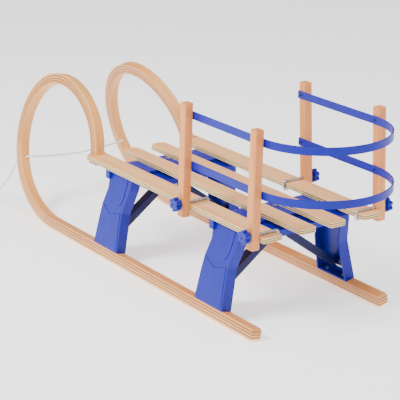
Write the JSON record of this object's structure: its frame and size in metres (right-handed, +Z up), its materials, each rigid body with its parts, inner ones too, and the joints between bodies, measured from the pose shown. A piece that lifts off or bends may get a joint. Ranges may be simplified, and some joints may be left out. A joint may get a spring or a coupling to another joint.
{
  "type": "wooden sledge",
  "caption": "Horn sledge of bent wood bars and slatted seat on blue channel legs, with a clamp-on back rest and a pull rope.",
  "frame": {"origin": "middle of the whole length and width, on the ground under the runners", "axes": "+X forward to the horns, +Y to the left, +Z up"},
  "size_m": [1.3285, 0.5196, 0.4545],
  "materials": {
    "bent_wood": "clear lacquer",
    "slat_plywood": "clear lacquer",
    "post_wood": "clear lacquer",
    "blue_plastic": "fine satin",
    "blue_strut": "fine satin",
    "zinc": "bright zinc",
    "rope": "braided"
  },
  "bodies": {
    "frame": {"band_rivets": "blue_strut", "beam_bolts": "zinc", "beam_screws": "zinc", "front_centre_bracket": "zinc", "front_crossbeam": "blue_plastic", "horn_bolts": "zinc", "left_front_leg": "blue_plastic", "left_front_post": "post_wood", "left_front_strut": "blue_strut", "left_horn_cap": "blue_plastic", "left_inner_slat": "slat_plywood", "left_outer_slat": "slat_plywood", "left_rear_leg": "blue_plastic", "left_rear_post": "post_wood", "left_rear_strut": "blue_strut", "left_runner": "bent_wood", "leg_screws": "zinc", "lower_band": "blue_plastic", "nuts": "zinc", "pull_rope": "rope", "rear_centre_bracket": "zinc", "rear_crossbeam": "blue_plastic", "right_front_leg": "blue_plastic", "right_front_post": "post_wood", "right_front_strut": "blue_strut", "right_horn_cap": "blue_plastic", "right_inner_slat": "slat_plywood", "right_outer_slat": "slat_plywood", "right_rear_leg": "blue_plastic", "right_rear_post": "post_wood", "right_rear_strut": "blue_strut", "right_runner": "bent_wood", "rope_coil": "rope", "rope_end_knot": "rope", "rope_stop_knot": "rope", "slat_screws": "zinc", "strut_bolts": "zinc", "strut_pins": "zinc", "upper_band": "blue_plastic"},
    "left_front_knob_body": {"left_front_star_knob": "blue_plastic"},
    "left_front_hook_body": {"left_front_hook_bolt": "zinc"},
    "left_rear_knob_body": {"left_rear_star_knob": "blue_plastic"},
    "left_rear_hook_body": {"left_rear_hook_bolt": "zinc"},
    "right_front_knob_body": {"right_front_star_knob": "blue_plastic"},
    "right_front_hook_body": {"right_front_hook_bolt": "zinc"},
    "right_rear_knob_body": {"right_rear_star_knob": "blue_plastic"},
    "right_rear_hook_body": {"right_rear_hook_bolt": "zinc"}
  },
  "joints": [
    {"name": "left_front_knob_spin", "type": "hinge", "parent": "frame", "child": "left_front_knob_body", "pos_m": [-0.20103, 0.185, 0.2283], "axis": [0, 1, 0], "range_deg": [0, 2880]},
    {"name": "left_front_hook_slide", "type": "slide", "parent": "frame", "child": "left_front_hook_body", "axis": [0, -1, 0], "range_m": [0, 0.00801]},
    {"name": "left_rear_knob_spin", "type": "hinge", "parent": "frame", "child": "left_rear_knob_body", "pos_m": [-0.45903, 0.185, 0.2283], "axis": [0, 1, 0], "range_deg": [0, 2880]},
    {"name": "left_rear_hook_slide", "type": "slide", "parent": "frame", "child": "left_rear_hook_body", "axis": [0, -1, 0], "range_m": [0, 0.00801]},
    {"name": "right_front_knob_spin", "type": "hinge", "parent": "frame", "child": "right_front_knob_body", "pos_m": [-0.20103, -0.185, 0.2283], "axis": [0, -1, 0], "range_deg": [0, 2880]},
    {"name": "right_front_hook_slide", "type": "slide", "parent": "frame", "child": "right_front_hook_body", "axis": [0, 1, 0], "range_m": [0, 0.00801]},
    {"name": "right_rear_knob_spin", "type": "hinge", "parent": "frame", "child": "right_rear_knob_body", "pos_m": [-0.45903, -0.185, 0.2283], "axis": [0, -1, 0], "range_deg": [0, 2880]},
    {"name": "right_rear_hook_slide", "type": "slide", "parent": "frame", "child": "right_rear_hook_body", "axis": [0, 1, 0], "range_m": [0, 0.00801]}
  ],
  "couplings": [
    {"joint": "left_front_hook_slide", "follows": "left_front_knob_spin", "m_per_rad": 0.00015915},
    {"joint": "left_rear_hook_slide", "follows": "left_rear_knob_spin", "m_per_rad": 0.00015915},
    {"joint": "right_front_hook_slide", "follows": "right_front_knob_spin", "m_per_rad": 0.00015915},
    {"joint": "right_rear_hook_slide", "follows": "right_rear_knob_spin", "m_per_rad": 0.00015915}
  ]
}
